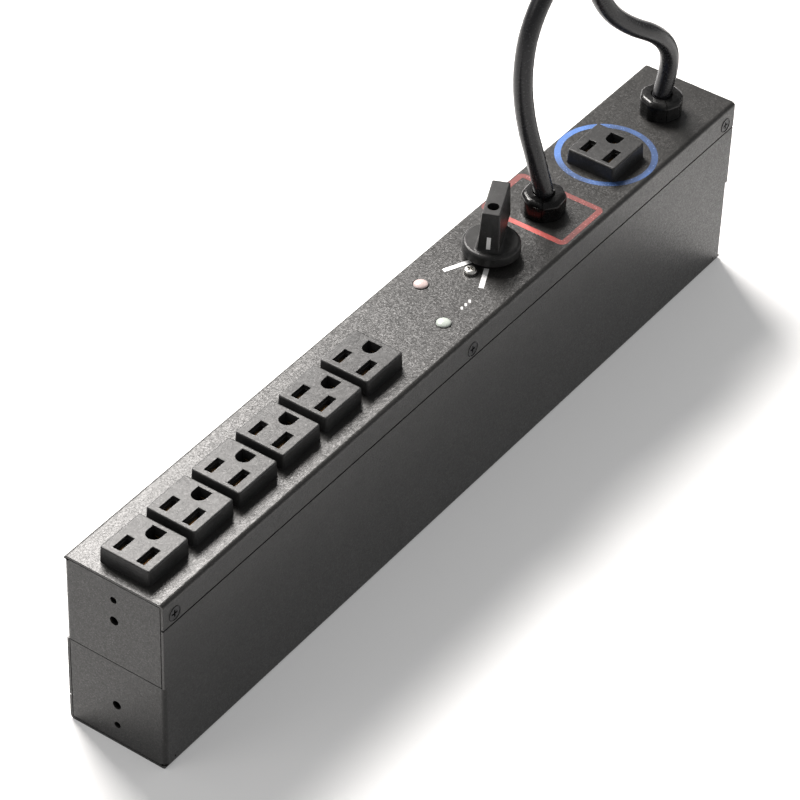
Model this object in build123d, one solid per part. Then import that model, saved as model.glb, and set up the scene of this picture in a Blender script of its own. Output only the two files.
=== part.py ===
# Rack power distribution unit with a rotary bypass selector.
# Millimetres. +X runs along the housing, +Y is the rear long side, +Z is up through the outlet face.
# The origin is at the centre of the underside.
from math import cos, radians, sin, tan
import os

from build123d import *

os.makedirs("parts", exist_ok=True)

# Housing: two folded sheets, each with one long wall, one short flange and two end flanges
length = 432.0
width = 51.0
height = 93.0
sheet = 1.2
bend_inside = 0.8
bend_outside = bend_inside + sheet
flange_height = 13.4
seam_gap = 0.8
end_gap = 0.4
lip_overlap = 8.0
lip_end_gap = 2.0
foot_clearance = 0.1

# Holes for rack brackets, in each end flange
bracket_hole_r = 2.2
bracket_hole_drop = 22.4
pilot_hole_r = 1.65
pilot_hole_drop = 10.9
relief_hole_r = 0.5
relief_from_end = 6.3
relief_from_edge = 3.6

# Countersunk screws that hold the two sheets together
screw_head_r = 3.3
screw_shank_r = 1.6
screw_shank_length = 7.0
screw_end_inset = 7.5
screw_drop = 9.0
screw_clearance = 0.1
recess_width = 0.9
recess_length = 3.6
recess_depth = 1.3

# Moulded receptacles
outlet_count = 6
outlet_pitch = 29.55
first_outlet_from_end = 18.7
outlet_y = -1.2
face_size = 25.6
face_height = 7.7
face_draft = 2.0
face_corner_r = 1.2
face_edge_r = 0.7
socket_body_x = 22.4
socket_body_y = 22.8
socket_body_depth = 19.0
cutout_clearance = 0.15
blade_spacing = 12.7
ground_offset = 11.9
slot_line_offset = -5.2
slot_width = 3.5
line_slot_length = 6.9
neutral_slot_length = 8.3
slot_lead_depth = 1.6
slot_throat_width = 2.3
slot_throat_trim = 0.8
ground_hole_r = 2.95
ground_hole_flat = 1.9
cavity_x = 9.4
cavity_y = 5.0
cavity_roof = 3.4
ground_cavity_y = 6.6
lug_length = 8.0
lug_height = 3.0
lug_reach = 0.7
inlet_x = 140.85

# Contact clips and bus strips
leaf_thickness = 0.5
leaf_length = 6.4
leaf_height = 12.0
blade_gap = 1.7
ground_gap = 4.4
strip_width = 5.4
strip_thickness = 0.8
strip_gap = 0.4
backplate_thickness = 2.0
backplate_wall = 2.0
backplate_margin = 3.0
tab_length = 8.0

# Rotary switch and its knob
switch_x = 50.0
mark_angle = 24.0
switch_body_x = 30.0
switch_body_y = 34.0
switch_body_depth = 38.0
switch_plate_x = 42.0
switch_plate_depth = 5.0
switch_screw_spacing = 32.0
terminal_r = 2.4
terminal_height = 1.6
terminal_pitch = 9.0
terminal_drop = 1.6
terminal_bore_r = 1.3
terminal_bore = 6.1
terminal_shank_r = 1.2
terminal_shank = 5.0
terminal_slot_width = 0.8
terminal_slot_depth = 0.6
shaft_r = 3.0
shaft_fit = 0.05
shaft_below = 34.0
shaft_tap = 8.0
panel_shaft_hole_r = 4.2
knob_r = 13.3
knob_gap = 3.2
knob_disc = 5.3
knob_rim_r = 1.6
knob_hub_r = 6.5
knob_hub_gap = 0.8
blade_front = 9.3
blade_top_front = 5.9
blade_back = 19.6
blade_top_height = 26.8
blade_bottom_width = 10.2
blade_top_width = 8.3
blade_edge_r = 0.7
blade_overhang_gap = 1.4
blade_seat_back = 11.0
blade_foot_r = 1.4
knob_socket_depth = 9.0
knob_screw_hole_r = 2.7
knob_screw_head_r = 2.6
knob_screw_head = 2.2
knob_screw_shank_r = 1.4
knob_screw_reach = 6.0
pointer_width = 1.8
pointer_depth = 0.7
pointer_top = 22.0
pan_head_r = 3.1
pan_head_height = 2.2

# Indicator lamps
bypass_lamp = (13.6, 12.4)
ready_lamp = (-2.3, -11.1)
lens_r = 2.9
lens_rim_r = 3.4
lens_rim = 0.6
lens_dome = 1.5
lens_clearance = 0.1
lens_stem = 6.0
led_r = 2.5
led_height = 5.0
led_gap = 0.3
board_thickness = 1.6
board_x = 30.0
board_y = 36.0
standoff_r = 2.2
standoff_inset = 4.0

# Strain relief bushings
bushing_across = 21.0
bushing_head = 10.0
bushing_edge_r = 2.2
bushing_corner_r = 2.6
bushing_neck_r = 8.0
bushing_neck = 9.0
bushing_clearance = 0.1
bushing_split = 0.5
bushing_split_depth = 0.6
bushing_mouth_r = 5.6
bushing_mouth_depth = 1.2
output_bushing = (91.5, 0.0)
supply_from_end = 27.5
supply_bushing_y = -1.0
output_split_angle = 208.0
supply_split_angle = 230.0

# Free cords, and the hank that each is folded into
cord_d = 9.0
cord_tail_inside = 22.0
hank_x = 481.5
hank_y = -6.0
hank_straight = 132.0
fold_r = 27.0
output_hank_levels = 2
supply_hank_levels = 4
stack_gap = 0.3
notch_gap = 0.3
tail_room = 3.5
plug_wall_gap = 0.4
plug_width = 24.5
plug_height = 21.0
plug_length = 32.0
plug_relief = 16.0
plug_relief_r = 6.4
tail_length = 80.0
pin_length = 17.9
ground_pin_length = 20.0
pin_width = 6.35
pin_thickness = 1.52
ground_pin_r = 2.39
wire_d = 3.0
pin_drop = 4.0
pin_root = 8.0

# Ground stud
stud_from_end = 51.0
stud_r = 2.0
stud_length = 14.0
nut_across = 7.0
nut_height = 3.2
nut_fit = 0.05

panel_under = height - sheet
face_top = height + face_height
disc_bottom = height + knob_gap
disc_top = disc_bottom + knob_disc
blade_top = height + blade_top_height
socket_back = height - socket_body_depth
bushing_top = height + bushing_head
half_length = length / 2
half_width = width / 2
first_outlet_x = first_outlet_from_end - half_length
supply_bushing = (half_length - supply_from_end, supply_bushing_y)
stud_x = half_length - stud_from_end


def save(name, shape):
    shape.label = name
    export_step(shape, f"parts/{name}.step")


def block(low, high):
    # A box from its lowest to its highest corner.
    size = [b - a for a, b in zip(low, high)]
    middle = [(a + b) / 2 for a, b in zip(low, high)]
    return Pos(*middle) * Box(*size)


def rod(x, y, low, high, radius):
    return Pos(x, y, (low + high) / 2) * Cylinder(radius, high - low)


def group(solids):
    return Compound(children=list(solids))


def offset_line(points, distance):
    # The same open line, moved to its left by a distance, with mitred corners.
    runs = [(b[0] - a[0], b[1] - a[1]) for a, b in zip(points, points[1:])]
    units = [(x / (x * x + y * y) ** 0.5, y / (x * x + y * y) ** 0.5) for x, y in runs]
    normals = [(-y, x) for x, y in units]
    moved = [(points[0][0] + distance * normals[0][0], points[0][1] + distance * normals[0][1])]
    for i in range(1, len(points) - 1):
        a, b = normals[i - 1], normals[i]
        share = distance / (1 + a[0] * b[0] + a[1] * b[1])
        moved.append((points[i][0] + share * (a[0] + b[0]), points[i][1] + share * (a[1] + b[1])))
    moved.append((points[-1][0] + distance * normals[-1][0], points[-1][1] + distance * normals[-1][1]))
    return moved


def folded_section(outer_points):
    # A folded strip's cross-section, from the corners of its outer side, which turns to the left.
    inner_points = offset_line(outer_points, sheet)
    outer = FilletPolyline(*outer_points, radius=bend_outside)
    inner = FilletPolyline(*inner_points, radius=bend_inside)
    return make_face(outer + Line(outer @ 1, inner @ 1) + inner + Line(inner @ 0, outer @ 0))


def half_shell():
    # The upper sheet, before its cut-outs: outlet face, rear wall, front flange and two end flanges.
    wall_bottom = flange_height + seam_gap
    corners = [
        (-half_width, height - flange_height),
        (-half_width, height),
        (half_width, height),
        (half_width, wall_bottom),
    ]
    section = folded_section([(y, z) for y, z in corners][::-1])
    shell = extrude(Plane.YZ * section, amount=half_length, both=True)
    lip_half = half_length - sheet - lip_end_gap
    shell += block(
        (-lip_half, half_width - 2 * sheet, sheet + lip_end_gap),
        (lip_half, half_width - sheet, wall_bottom + lip_overlap),
    )
    for side in (-1, 1):
        near, far = sorted((side * half_length, side * (half_length - bend_outside)))
        shell -= block(
            (near, half_width - sheet - 0.01, height / 2), (far, half_width + 1, height - bend_outside)
        )
        shell += end_flange(side)
    return shell


def end_flange(side):
    # Folded from the rear wall: it covers the upper half of one end, inside the face and the front wall.
    front_edge = -half_width + sheet + end_gap
    line = [
        (half_length - bend_outside - 0.001, half_width),
        (half_length, half_width),
        (half_length, front_edge),
    ]
    section = folded_section(line[::-1])
    low = height / 2 + end_gap / 2
    flange = Pos(0, 0, low) * extrude(section, amount=height - bend_outside - end_gap - low)
    flange += block(
        (half_length - sheet, front_edge, low),
        (half_length, half_width - bend_outside - end_gap, panel_under - end_gap),
    )
    if side < 0:
        flange = mirror(flange, Plane.YZ)
    for drop, radius in ((bracket_hole_drop, bracket_hole_r), (pilot_hole_drop, pilot_hole_r)):
        hole = Pos(side * half_length, 0, height - drop) * Rot(0, 90, 0) * Cylinder(radius, 4 * sheet)
        flange -= hole
    return flange


def countersunk_screw(clearance=0.0):
    # Lies along -Z from its flat head at Z = 0; the same form, enlarged, cuts its hole.
    head = screw_head_r + clearance
    shank = screw_shank_r + clearance
    cone = head - shank
    profile = make_face(
        Polyline(
            (0, 0), (head, 0), (head, -0.2), (shank, -0.2 - cone),
            (shank, -screw_shank_length), (0, -screw_shank_length), close=True,
        )
    )
    return revolve(Plane.XZ * profile, Axis.Z)


def cross_recess():
    arm = Box(recess_length, recess_width, 2 * recess_depth)
    return arm + Rot(0, 0, 90) * arm


def flange_screw_places(front):
    # The front flange hangs from the face; the rear flange stands up from the underside.
    z = height - screw_drop if front else screw_drop
    y = -half_width if front else half_width
    turn = 90 if front else -90
    ends = half_length - screw_end_inset
    return [Pos(x, y, z) * Rot(turn, 0, 0) for x in (-ends, 0, ends)]


def flange_screws(front):
    screw = countersunk_screw() - cross_recess()
    return [place * screw for place in flange_screw_places(front)]


def socket_slots():
    # Lead-ins and throats of the two blade slots and the ground hole, with the cavity behind each.
    cuts = []
    roof = face_top - cavity_roof
    for y, long in ((blade_spacing / 2, line_slot_length), (-blade_spacing / 2, neutral_slot_length)):
        cuts.append(
            block(
                (slot_line_offset - long / 2, y - slot_width / 2, face_top - slot_lead_depth),
                (slot_line_offset + long / 2, y + slot_width / 2, face_top + 1),
            )
        )
        throat = long - slot_throat_trim
        cuts.append(
            block(
                (slot_line_offset - throat / 2, y - slot_throat_width / 2, roof - 1),
                (slot_line_offset + throat / 2, y + slot_throat_width / 2, face_top),
            )
        )
        cuts.append(
            block(
                (slot_line_offset - cavity_x / 2, y - cavity_y / 2, socket_back - 1),
                (slot_line_offset + cavity_x / 2, y + cavity_y / 2, roof),
            )
        )
    ground_x = slot_line_offset + ground_offset
    cuts.append(rod(ground_x, 0, roof - 1, face_top + 1, ground_hole_r))
    cuts.append(
        block(
            (ground_x, -ground_hole_r, roof - 1),
            (ground_x + ground_hole_flat, ground_hole_r, face_top + 1),
        )
    )
    cuts.append(
        block(
            (ground_x - cavity_x / 2, -ground_cavity_y / 2, socket_back - 1),
            (ground_x + cavity_x / 2 - 1.2, ground_cavity_y / 2, roof),
        )
    )
    return cuts


def receptacle_face():
    # Upper moulding of a receptacle, about its own centre: a drafted block with its slots.
    across = face_size + 0.5
    face = extrude(RectangleRounded(across, across, face_corner_r), amount=face_height, taper=face_draft)
    face = Pos(0, 0, height) * face
    face = fillet(face.faces().sort_by(Axis.Z)[-1].edges(), face_edge_r)
    for cut in socket_slots():
        face -= cut
    return face


def receptacle_base():
    # Lower moulding, which goes through the panel and snaps under it with a lug on each side.
    reach_x, reach_y = socket_body_x / 2, socket_body_y / 2
    base = block((-reach_x, -reach_y, socket_back), (reach_x, reach_y, height))
    lug = make_face(Polyline((0, 0), (lug_reach, 0), (0, -lug_height), close=True))
    wedge = extrude(Plane.YZ * lug, amount=lug_length / 2, both=True)
    wedge = Pos(0, reach_y, panel_under - 0.2) * wedge
    base += wedge + mirror(wedge, Plane.XZ)
    for cut in socket_slots():
        base -= cut
    return base


def clip(gap):
    # Two spring leaves that stand on a strip and grip a blade between them.
    top = socket_back + leaf_height
    leaves = []
    for side in (-1, 1):
        near, far = sorted((side * gap / 2, side * (gap / 2 + leaf_thickness)))
        leaves.append(
            block((-leaf_length / 2, near, socket_back - strip_gap), (leaf_length / 2, far, top))
        )
    return leaves


def strip(low_x, high_x, y, gap, places):
    # A flat stamped strip under the receptacles, with a clip at each place.
    top = socket_back - strip_gap
    bar = block((low_x, y - strip_width / 2, top - strip_thickness), (high_x, y + strip_width / 2, top))
    for x in places:
        for leaf in clip(gap):
            bar += Pos(x, y, 0) * leaf
    return bar


def contact_lines():
    # Name, place along the receptacle, place across it, and the gap between the leaves.
    ground_x = slot_line_offset + ground_offset
    return (
        ("line", slot_line_offset, blade_spacing / 2, blade_gap),
        ("neutral", slot_line_offset, -blade_spacing / 2, blade_gap),
        ("ground", ground_x - 0.6, 0.0, ground_gap),
    )


def backplate(low_x, high_x):
    # Insulating tray that closes the backs of the receptacles behind the strips.
    top = socket_back - strip_gap - strip_thickness - strip_gap
    reach = socket_body_y / 2
    plate = block(
        (low_x, outlet_y - reach, top - backplate_thickness), (high_x, outlet_y + reach, top)
    )
    for y in (outlet_y - reach, outlet_y + reach - backplate_wall):
        plate += block((low_x, y, top), (high_x, y + backplate_wall, socket_back))
    return plate


def switch_housing():
    # Body of the rotary switch: a mounting plate against the panel, a stack of switching cells below it.
    plate = block(
        (switch_x - switch_plate_x / 2, -switch_body_y / 2, panel_under - switch_plate_depth),
        (switch_x + switch_plate_x / 2, switch_body_y / 2, panel_under),
    )
    plate = fillet(plate.edges().filter_by(Axis.Z), 3.0)
    bottom = panel_under - switch_body_depth
    body = block(
        (switch_x - switch_body_x / 2, -switch_body_y / 2 + 2, bottom),
        (switch_x + switch_body_x / 2, switch_body_y / 2 - 2, panel_under - switch_plate_depth),
    )
    body = chamfer(body.edges().filter_by(Axis.Z), 2.0)
    body += plate
    for z in (bottom + switch_body_depth / 3, bottom + 2 * switch_body_depth / 3):
        ring = block(
            (switch_x - switch_body_x, -switch_body_y, z - 0.4),
            (switch_x + switch_body_x, switch_body_y, z + 0.4),
        )
        core = block(
            (switch_x - switch_body_x / 2 + 0.8, -switch_body_y / 2 + 2.8, z - 1),
            (switch_x + switch_body_x / 2 - 0.8, switch_body_y / 2 - 2.8, z + 1),
        )
        body -= ring - core
    body -= rod(switch_x, 0, panel_under - shaft_below - 0.3, height, shaft_r + shaft_fit)
    for side in (-1, 1):
        x = switch_x + side * switch_screw_spacing / 2
        body -= rod(x, 0, panel_under - switch_plate_depth - 4, height, screw_shank_r + 0.1)
    for place in terminal_places():
        body -= place * rod(0, 0, -terminal_bore, 0.1, terminal_bore_r)
    return body


def terminal_places():
    # Wiring terminals on the two X sides of the switching cells, two on each cell, facing outwards.
    bottom = panel_under - switch_body_depth
    places = []
    for side in (-1, 1):
        x = switch_x + side * switch_body_x / 2
        for level in (1, 3, 5):
            z = bottom + level * switch_body_depth / 6 - terminal_drop
            for y in (-terminal_pitch / 2, terminal_pitch / 2):
                places.append(Pos(x, y, z) * Rot(0, side * 90, 0))
    return places


def terminal_screw():
    head = Pos(0, 0, terminal_height / 2) * Cylinder(terminal_r, terminal_height)
    shank = rod(0, 0, -terminal_shank, 0, terminal_shank_r)
    slot = Pos(0, 0, terminal_height) * Box(2 * terminal_r, terminal_slot_width, 2 * terminal_slot_depth)
    return head + shank - slot


def pan_screw(length_below):
    # Domed head with a cross recess, seated at Z = 0.
    dome = Pos(0, 0, pan_head_height / 2) * Cylinder(pan_head_r, pan_head_height)
    dome = fillet(dome.edges().sort_by(Axis.Z)[-1], 1.3)
    shank = Pos(0, 0, -length_below / 2) * Cylinder(screw_shank_r, length_below)
    return dome + shank - Pos(0, 0, pan_head_height) * cross_recess()


def shaft():
    # Steel spindle: round in the switch, with a flat where the knob grips it.
    top = disc_bottom + knob_socket_depth
    spindle = rod(switch_x, 0, panel_under - shaft_below, top, shaft_r)
    spindle -= block(
        (switch_x + shaft_r - 1, -shaft_r, disc_bottom), (switch_x + shaft_r + 1, shaft_r, top + 1)
    )
    spindle -= rod(switch_x, 0, top - shaft_tap, top + 1, knob_screw_shank_r)
    return Pos(switch_x, 0, 0) * Rot(0, 0, mark_angle) * Pos(-switch_x, 0, 0) * spindle


def turned(shape):
    # The selector's pieces are drawn with their pointer along -X and turned to the resting mark.
    return Pos(switch_x, 0, 0) * Rot(0, 0, mark_angle) * shape


def knob_blade():
    low = Plane.XY.offset(disc_top - 0.5) * Pos((blade_back - blade_front) / 2, 0) * Rectangle(
        blade_back + blade_front, blade_bottom_width
    )
    high = Plane.XY.offset(blade_top) * Pos((blade_back - blade_top_front) / 2, 0) * Rectangle(
        blade_back + blade_top_front, blade_top_width
    )
    blade = loft([low, high])
    blade = fillet(blade.edges().filter_by_position(Axis.Z, disc_top, blade_top + 0.1), blade_edge_r)
    return blade - block(
        (blade_seat_back, -blade_bottom_width, disc_top - 1),
        (blade_back + 1, blade_bottom_width, disc_top + blade_overhang_gap),
    )


def pointer_slab():
    # The inlaid line on the front of the blade, as the part of the blade near its front face.
    lean = (blade_front - blade_top_front) / (blade_top - disc_top + 0.5)
    low_z, high_z = disc_top + 1.2, height + pointer_top
    front_low = -blade_front + lean * (low_z - disc_top + 0.5)
    front_high = -blade_front + lean * (high_z - disc_top + 0.5)
    face = make_face(
        Polyline(
            (front_low - 2, low_z), (front_low + pointer_depth, low_z),
            (front_high + pointer_depth, high_z), (front_high - 2, high_z), close=True,
        )
    )
    return extrude(Plane.XZ * face, amount=pointer_width / 2, both=True)


def knob_parts():
    disc = Pos(0, 0, (disc_bottom + disc_top) / 2) * Cylinder(knob_r, knob_disc)
    disc = fillet(disc.edges().sort_by(Axis.Z)[-1], knob_rim_r)
    hub = rod(0, 0, height + knob_hub_gap, disc_bottom, knob_hub_r)
    blade = knob_blade()
    pointer = blade & pointer_slab()
    grip = disc + blade
    foot = [
        edge for edge in grip.edges().filter_by_position(Axis.Z, disc_top - 0.01, disc_top + 0.01)
        if edge.center().X < blade_seat_back and edge.length < 4 * knob_r
    ]
    knob = fillet(foot, blade_foot_r) + hub - pointer
    socket = rod(0, 0, height - 1, disc_bottom + knob_socket_depth, shaft_r)
    socket -= block(
        (shaft_r - 1, -shaft_r, disc_bottom), (shaft_r + 1, shaft_r, disc_bottom + knob_socket_depth + 1)
    )
    head_seat = disc_bottom + knob_socket_depth + 2.0
    knob -= socket
    knob -= rod(0, 0, disc_bottom, head_seat + 1, knob_screw_shank_r + 0.1)
    knob -= rod(0, 0, head_seat, blade_top + 1, knob_screw_hole_r)
    screw = rod(0, 0, head_seat, head_seat + knob_screw_head, knob_screw_head_r)
    screw += rod(0, 0, disc_bottom + knob_socket_depth - knob_screw_reach, head_seat, knob_screw_shank_r)
    screw -= Pos(0, 0, head_seat + knob_screw_head) * cross_recess()
    return turned(knob), turned(pointer), turned(screw)


def lamp_lens():
    # Clear moulded lens: a rim on the panel, a low dome and a stem down to the lamp.
    rim = rod(0, 0, height, height + lens_rim, lens_rim_r)
    dome_base = rod(0, 0, height, height + lens_dome, lens_r)
    dome = fillet(dome_base.edges().sort_by(Axis.Z)[-1], lens_dome - lens_rim - 0.05)
    return rim + dome + rod(0, 0, panel_under - lens_stem, height, lens_r)


def board_level():
    return panel_under - lens_stem - led_gap - led_height


def indicator_board():
    middle = ((bypass_lamp[0] + ready_lamp[0]) / 2, 0.0)
    top = board_level()
    board = block(
        (middle[0] - board_x / 2, middle[1] - board_y / 2, top - board_thickness),
        (middle[0] + board_x / 2, middle[1] + board_y / 2, top),
    )
    for place in standoff_places():
        board -= place * Cylinder(1.3, 3 * height)
    return board


def standoff_places():
    middle = (bypass_lamp[0] + ready_lamp[0]) / 2
    reach_x, reach_y = board_x / 2 - standoff_inset, board_y / 2 - standoff_inset
    return [Pos(middle + x, y, 0) for x, y in ((-reach_x, reach_y), (reach_x, -reach_y))]


def standoff():
    board_under = board_level() - board_thickness
    low = board_under - 1.5
    post = rod(0, 0, board_level(), panel_under, standoff_r)
    return post + rod(0, 0, low, board_level(), 1.2) + rod(0, 0, low - 1, board_under, standoff_r)


def bushing(split_angle):
    # Moulded strain relief, closed around the cord: an eight-sided head and a neck through the panel.
    flats = RegularPolygon(bushing_across / 2, 8, major_radius=False, rotation=22.5)
    head = extrude(fillet(flats.vertices(), bushing_corner_r), amount=bushing_head)
    head = fillet(head.faces().sort_by(Axis.Z)[-1].edges(), bushing_edge_r)
    part = Pos(0, 0, height) * head + rod(0, 0, panel_under - bushing_neck, height, bushing_neck_r)
    bore_r = cord_d / 2 + bushing_clearance
    part -= rod(0, 0, 0, bushing_top + 1, bore_r)
    mouth = Solid.make_cone(bore_r, bushing_mouth_r, bushing_mouth_depth)
    part -= Pos(0, 0, bushing_top - bushing_mouth_depth) * mouth
    for turn in (split_angle, split_angle + 180):
        reach = bushing_across / 2
        groove = block(
            (reach - bushing_split_depth, -bushing_split / 2, height),
            (reach + 4, bushing_split / 2, bushing_top + 1),
        )
        part -= Rot(0, 0, turn) * groove
    return part


# Routes of the free cords, from the top of each bushing over to the start of its hank
output_route = [
    (91.5, 0, 103), (88.6, 3.5, 121), (85, 8, 142), (83.5, 10.5, 166), (88, 11, 190), (101, 8, 212),
    (123, 2, 229), (152, -5, 236), (184, -12, 230), (214, -18, 212), (240, -24, 185), (262, -29, 154),
    (281, -33, 120), (299, -33, 87), (320, -33, 55), (346, -33, 26), (380, -33, 4.5), (415.5, -33, 4.5),
]
supply_route = [
    (188.5, -1, 103), (187.7, -1, 119), (181, -1, 138), (167.5, 0, 153), (151, 4, 166.5),
    (139.5, 8.5, 184.5), (136, 11.5, 205), (138.5, 13.5, 227), (150, 14, 247), (168.5, 14, 260),
    (193, 13, 265), (220, 10.5, 260), (245, 6, 244.5), (267, -1, 220), (286, -9, 190.5),
    (304, -17, 159), (322, -24, 127), (341, -30, 93), (361, -33, 64.3), (387, -33, 49.8),
    (415.5, -33, 49.8),
]


def tangent_radii(route, share=0.45):
    # The largest arc that each corner allows when it takes a share of its shorter run.
    radii = []
    points = [Vector(*p) for p in route]
    for a, b, c in zip(points, points[1:], points[2:]):
        half_turn = radians((b - a).get_angle(c - b)) / 2
        radii.append(share * min((b - a).length, (c - b).length) / tan(half_turn))
    return radii


def tube(route, name, diameter=cord_d):
    radii = tangent_radii(route)
    path = FilletPolyline(*route, radius=radii)
    section = Plane(origin=path @ 0, z_dir=path % 0) * Circle(diameter / 2)
    solid = sweep(section, path=path)
    print(name, "length", round(path.length, 1), "smallest radius", round(min(radii), 1),
          "volume over section times length", round(solid.volume / (section.area * path.length), 5))
    return solid


def hank(low, levels, entry_level, exit_level):
    # Outer shape of the folded cord: long loops on each other, open where the cord comes in and goes on.
    straight_start = hank_x - hank_straight / 2
    outer = SlotCenterToCenter(hank_straight, 2 * fold_r + cord_d)
    inner = SlotCenterToCenter(hank_straight, 2 * fold_r - cord_d)
    ring = Pos(hank_x, hank_y, low) * extrude(outer - inner, amount=levels * cord_d)
    inside = hank_y - fold_r + cord_d / 2 + notch_gap
    outside = hank_y - fold_r - cord_d
    ring -= block(
        (straight_start - 2 * fold_r, outside, low + entry_level * cord_d - notch_gap),
        (straight_start, inside, low + (entry_level + 1) * cord_d + notch_gap),
    )
    ring -= block(
        (straight_start, outside, low + exit_level * cord_d - tail_room),
        (straight_start + hank_straight, inside, low + (exit_level + 1) * cord_d + tail_room),
    )
    return ring


def tail_route(start_z, end_z):
    # From the last loop into the middle of the hank, in a shallow S, to the back of the plug.
    start = (hank_x - hank_straight / 2, hank_y - fold_r, start_z)
    across = plug_y() - start[1]
    shares = ((0, 0), (0.214, 0), (0.417, 0.257), (0.583, 0.743), (0.786, 1), (1, 1))
    return [
        (start[0] + along * tail_length, start[1] + side * across, start_z + side * (end_z - start_z))
        for along, side in shares
    ]


def plug_y():
    return hank_y - fold_r + cord_d / 2 + plug_wall_gap + plug_width / 2


def plug(joint_x, y, z):
    # Straight moulded plug on the cord's end, with its pins along +X.
    start = joint_x + plug_relief
    rear = Plane(origin=(start, y, z), z_dir=(1, 0, 0), x_dir=(0, 1, 0))
    back = rear * RectangleRounded(plug_width * 0.72, plug_height * 0.8, 4)
    middle = rear.offset(plug_length * 0.45) * RectangleRounded(plug_width, plug_height, 5)
    front = rear.offset(plug_length) * RectangleRounded(plug_width, plug_height, 5)
    body = loft([back, middle]) + loft([middle, front])
    relief = Solid.make_cone(
        cord_d / 2 + 0.6, plug_relief_r, plug_relief, Plane(origin=(joint_x, y, z), z_dir=(1, 0, 0))
    )
    body += relief
    front_x = start + plug_length
    pins = plug_pins(front_x, y, z)
    for pin in pins:
        body -= pin
    return body, pins


def plug_pins(front_x, y, z):
    root = front_x - pin_root
    pins = []
    for side in (-1, 1):
        across = y + side * blade_spacing / 2
        base = z - pin_drop
        pins.append(
            block(
                (root, across - pin_thickness / 2, base - pin_width / 2),
                (front_x + pin_length, across + pin_thickness / 2, base + pin_width / 2),
            )
        )
    ground_z = z - pin_drop + ground_offset
    ground = Pos((root + front_x + ground_pin_length) / 2, y, ground_z) * Rot(0, 90, 0) * Cylinder(
        ground_pin_r, front_x + ground_pin_length - root
    )
    pins.append(fillet(ground.edges().sort_by(Axis.X)[-1], 1.5))
    return pins


def housing_nodes():
    shell = half_shell()
    cover = shell
    tray = Pos(0, 0, height) * Rot(180, 0, 0) * shell
    cut = countersunk_screw(screw_clearance)
    for place in flange_screw_places(True) + flange_screw_places(False):
        cover -= place * cut
        tray -= place * cut
    reach_x, reach_y = socket_body_x / 2 + cutout_clearance, socket_body_y / 2 + cutout_clearance
    for x in socket_places():
        cover -= block(
            (x - reach_x, outlet_y - reach_y, panel_under - 1),
            (x + reach_x, outlet_y + reach_y, height + 1),
        )
    cover -= rod(switch_x, 0, panel_under - 1, height + 1, panel_shaft_hole_r)
    for side in (-1, 1):
        x = switch_x + side * switch_screw_spacing / 2
        cover -= rod(x, 0, panel_under - 1, height + 1, screw_shank_r + 0.1)
    for x, y in (bypass_lamp, ready_lamp):
        cover -= rod(x, y, panel_under - 1, height + 1, lens_r + lens_clearance)
    for x, y in (output_bushing, supply_bushing):
        cover -= rod(x, y, panel_under - 1, height + 1, bushing_neck_r + bushing_clearance)
    for x in (relief_from_end - half_length, half_length - relief_from_end):
        hole = Rot(90, 0, 0) * Cylinder(relief_hole_r, 4 * sheet)
        tray -= Pos(x, -half_width, relief_from_edge) * hole
        cover -= Pos(x, half_width, height - relief_from_edge) * hole
    save("top_cover", cover)
    save("bottom_tray", tray)
    save("front_flange_screws", group(flange_screws(True)))
    save("rear_flange_screws", group(flange_screws(False)))


def outlet_places():
    return [first_outlet_x + i * outlet_pitch for i in range(outlet_count)]


def socket_places():
    return outlet_places() + [inlet_x]


def socket_nodes():
    face, base = receptacle_face(), receptacle_base()
    for i, x in enumerate(outlet_places()):
        save(f"outlet_{i + 1}", Pos(x, outlet_y, 0) * face)
    save("outlet_bases", group([Pos(x, outlet_y, 0) * base for x in outlet_places()]))
    save("ups_input_socket", Pos(inlet_x, outlet_y, 0) * face)
    save("input_base", Pos(inlet_x, outlet_y, 0) * base)
    first, last = outlet_places()[0], outlet_places()[-1]
    reach = socket_body_x / 2
    for name, x, y, gap in contact_lines():
        places = [place + x for place in outlet_places()]
        low, high = first - reach, last + reach + tab_length
        save(f"{name}_bus_strip", strip(low, high, outlet_y + y, gap, places))
        low, high = inlet_x - reach, inlet_x + reach + tab_length
        save(f"input_{name}_contact", strip(low, high, outlet_y + y, gap, [inlet_x + x]))
    save("outlet_backplate", backplate(first - reach, last + reach))
    save("input_backplate", backplate(inlet_x - reach, inlet_x + reach))


def switch_nodes():
    save("switch_body", switch_housing())
    save("switch_terminal_screws", group([place * terminal_screw() for place in terminal_places()]))
    below = sheet + switch_plate_depth + 2
    sides = [switch_x + side * switch_screw_spacing / 2 for side in (-1, 1)]
    save("switch_mounting_screws", group([Pos(x, 0, height) * pan_screw(below) for x in sides]))
    save("switch_shaft", shaft())
    knob, pointer, screw = knob_parts()
    save("selector_knob", knob)
    save("knob_pointer", pointer)
    save("knob_screw", screw)


def lamp_nodes():
    lens = lamp_lens()
    save("bypass_lamp_lens", Pos(*bypass_lamp, 0) * lens)
    save("ready_lamp_lens", Pos(*ready_lamp, 0) * lens)
    led = rod(0, 0, board_level(), board_level() + led_height, led_r)
    led = fillet(led.edges().sort_by(Axis.Z)[-1], led_r - 0.1)
    save("indicator_leds", group([Pos(*place, 0) * led for place in (bypass_lamp, ready_lamp)]))
    save("indicator_board", indicator_board())
    save("board_standoffs", group([place * standoff() for place in standoff_places()]))


def cord_inner_end(route):
    # The stretch of cord inside the bushing, cut where the free cord begins, across its direction.
    x, y, z = route[0]
    direction = Vector(*route[1]) - Vector(*route[0])
    inner = rod(x, y, panel_under - bushing_neck - cord_tail_inside, z + cord_d / 2, cord_d / 2)
    return split(inner, bisect_by=Plane(origin=(x, y, z), z_dir=direction), keep=Keep.BOTTOM)


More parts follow.
